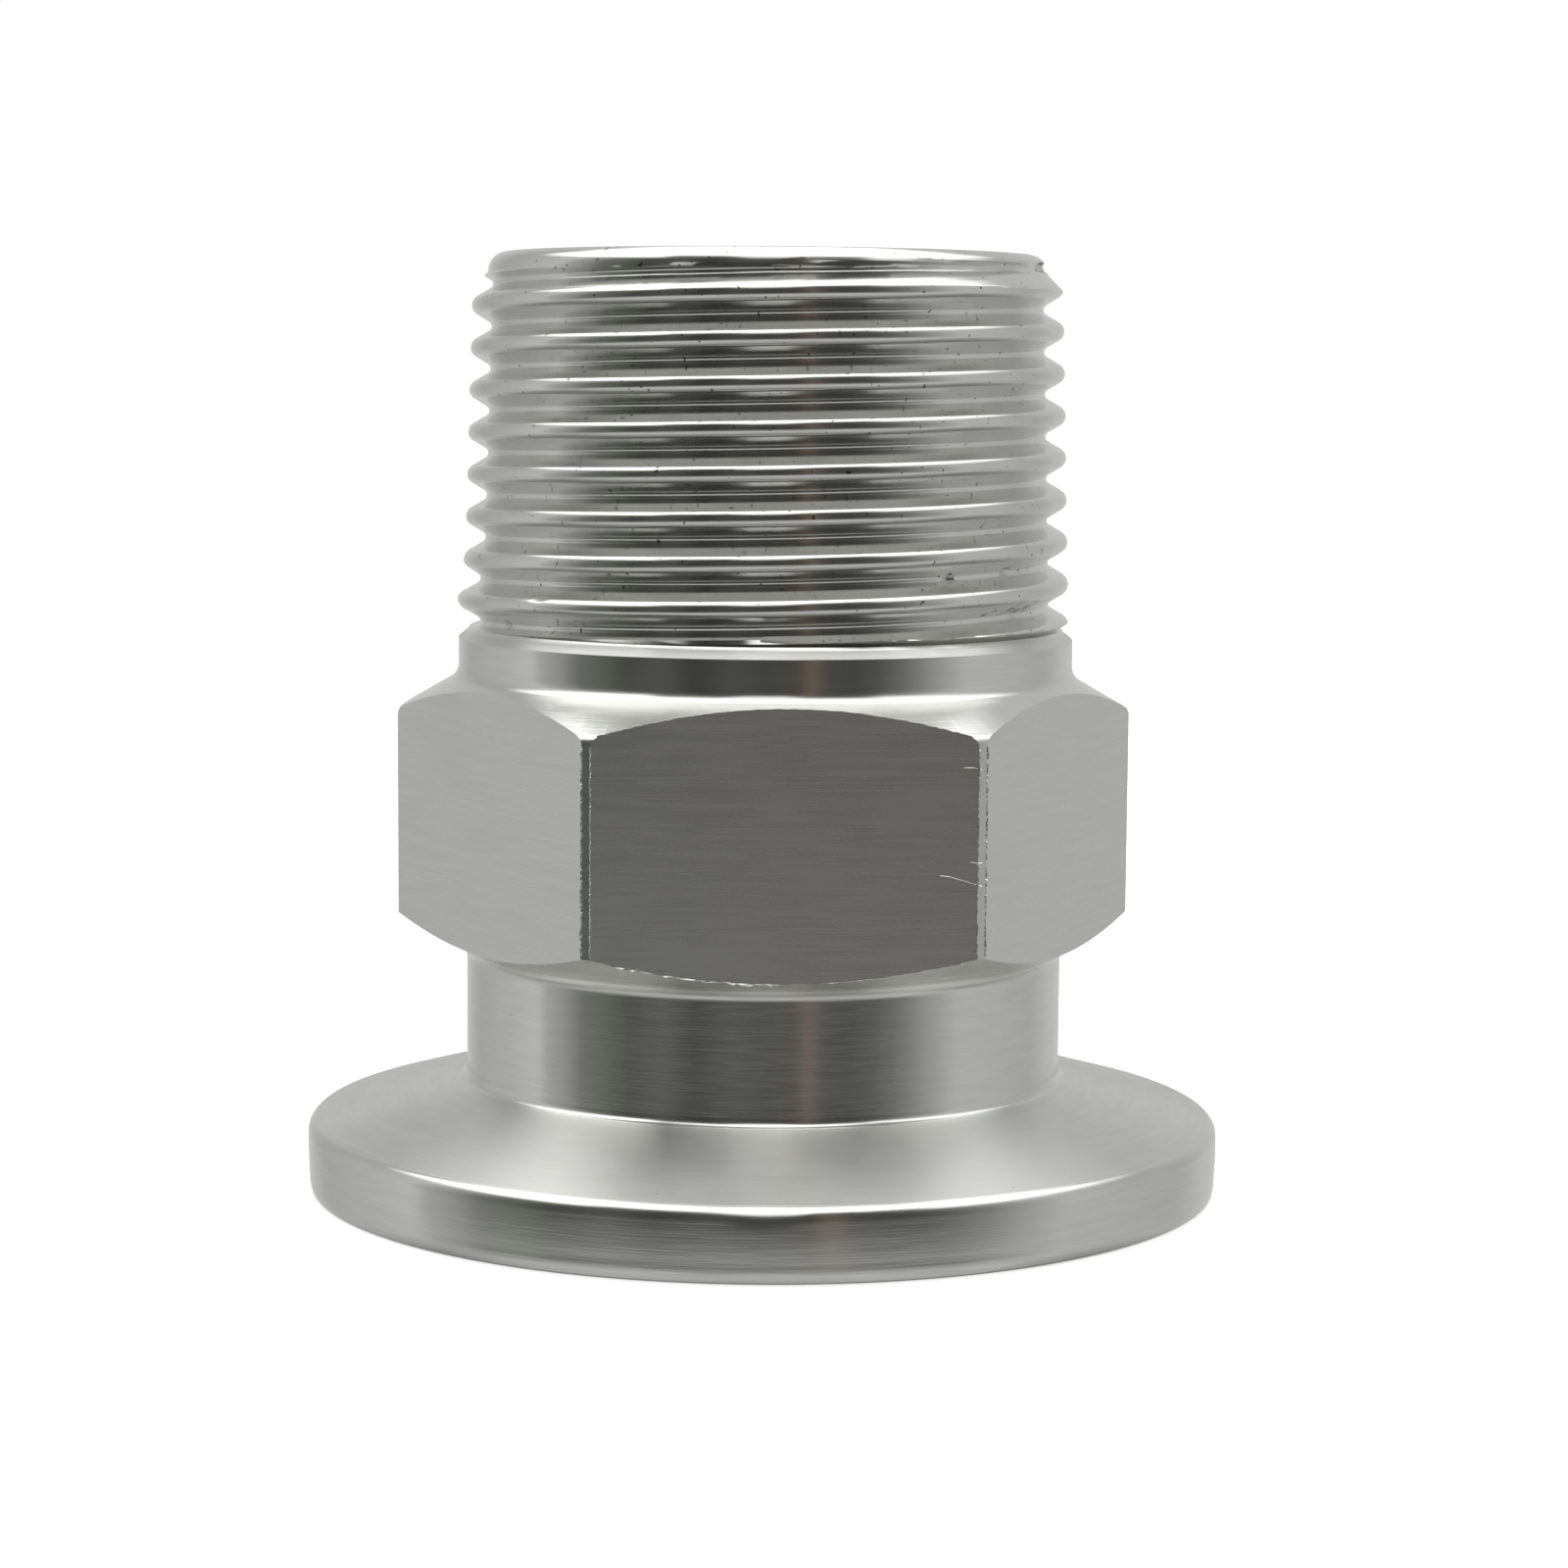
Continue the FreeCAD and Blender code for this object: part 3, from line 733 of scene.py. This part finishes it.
# East is the right of the photograph, and north is away from the camera. The bearing round
# the tent is 0 towards the camera, and the height is 1 straight up and -1 straight down.
direction = add_node(tent, "ShaderNodeTexCoord")
axes = add_node(tent, "ShaderNodeSeparateXYZ")
feed(tent, axes.inputs[0], direction.outputs["Generated"])
east, north, up = axes.outputs
bearing = add_math(tent, "ARCTAN2", east, add_math(tent, "MULTIPLY", north, -1.0))
around = add_math(tent, "ADD", add_math(tent, "DIVIDE", bearing, math.tau), 0.5)
height = add_math(tent, "DIVIDE", add_math(tent, "ARCSINE", up), math.pi / 2)
depth = add_math(tent, "MULTIPLY", height, -1.0)


def bearing_stop(degrees, red, green=None, blue=None):
    """Stop of the walls' ramp at a bearing, grey where only one number is given."""
    return degrees / 360 + 0.5, (red, green or red, blue or red)


# The walls, once round by bearing: pale cloth at the sides and behind, and the dark room in
# front, with a greenish band at its left and a brown one right of its middle
walls = tent_ramp(around, [bearing_stop(*stop) for stop in (
    (-180, 0.63), (-167, 0.66), (-141, 0.51), (-115, 0.60), (-96, 0.69), (-90, 0.50),
    (-80, 0.36), (-73, 0.20), (-62, 0.13, 0.145, 0.11), (-52, 0.075), (-38, 0.105),
    (-26, 0.05), (-12, 0.085), (0, 0.067), (6, 0.072, 0.073, 0.068), (12, 0.085, 0.07, 0.06),
    (17, 0.18, 0.135, 0.11), (23, 0.08), (32, 0.07), (42, 0.10), (50, 0.17), (57, 0.26),
    (64, 0.38), (80, 0.63), (96, 0.61), (125, 0.54), (145, 0.65))])

# The white top hangs a little lower behind than in front, and lower straight ahead and at
# both sides than between them
NONE, ALL = (0, 0, 0), (1, 1, 1)
BEHIND_DROP, HANGING_DROP = 0.075, 0.12
hanging = tent_ramp(add_math(tent, "ABSOLUTE", east), (
    (0.10, ALL), (0.22, NONE), (0.46, NONE), (0.58, ALL)))
overhead = add_math(tent, "MULTIPLY_ADD", north, BEHIND_DROP, height)
overhead = add_math(tent, "MULTIPLY_ADD", hanging, HANGING_DROP, overhead)
above_share = tent_ramp(overhead, ((0.53, NONE), (0.63, ALL)))

# It is brightest behind and dimmer towards the camera and on the right
CAMERA_TOP, BACK_TOP, RIGHT_TOP = (1.35, 1.35, 1.34), (2.35, 2.35, 2.35), (1.0, 1.0, 1.0)
ceiling = add_blend(tent, add_range(tent, north, -0.6, -0.15), CAMERA_TOP, BACK_TOP)
right_share = add_range(tent, east, 0.25, 0.7, 0.0, 0.5)
ceiling = add_blend(tent, right_share, ceiling, RIGHT_TOP)

# The sheet below falls into shade lower down, sooner behind and at the sides than in front
below_share = tent_ramp(depth, ((0.15, NONE), (0.31, ALL)))
front_sheet = tent_ramp(depth, (
    (0.32, (0.70, 0.70, 0.69)), (0.52, (0.54, 0.54, 0.53)), (0.75, (0.28, 0.28, 0.27))))
back_sheet = tent_ramp(depth, (
    (0.24, (0.58, 0.58, 0.57)), (0.40, (0.30, 0.30, 0.29)), (0.62, (0.20, 0.20, 0.19))))
back_share = add_range(tent, north, -0.35, 0.05)

room = add_blend(tent, above_share, walls, ceiling)
room = add_blend(tent, below_share, room, add_blend(tent, back_share, front_sheet, back_sheet))
path = add_node(tent, "ShaderNodeLightPath")
background = add_node(tent, "ShaderNodeBackground")
background.inputs["Strength"].default_value = TENT_STRENGTH
feed(tent, background.inputs["Color"], add_blend(
    tent, path.outputs["Is Camera Ray"], room, BACKDROP))
output = add_node(tent, "ShaderNodeOutputWorld")
feed(tent, output.inputs["Surface"], background.outputs[0])

# Camera
# At the photograph's place: level with the thread, and tilted a little down at the piece.
CAMERA_PLACE = Vector((0, -165.83, 35.85)) * MM
CAMERA_TILT = math.radians(90 - 6.274)
CAMERA_ROLL = math.radians(0.409)
lens = bpy.data.cameras.new("camera")
lens.lens = 87.12
lens.sensor_width = 36
lens.shift_x = 0.0124
lens.clip_start = 0.01
camera = bpy.data.objects.new("camera", lens)
bpy.context.scene.collection.objects.link(camera)
camera.location = CAMERA_PLACE
camera.rotation_euler = (
    Matrix.Rotation(CAMERA_TILT, 3, "X") @ Matrix.Rotation(CAMERA_ROLL, 3, "Z")).to_euler()
bpy.context.scene.camera = camera
bpy.context.scene.view_settings.view_transform = "Standard"
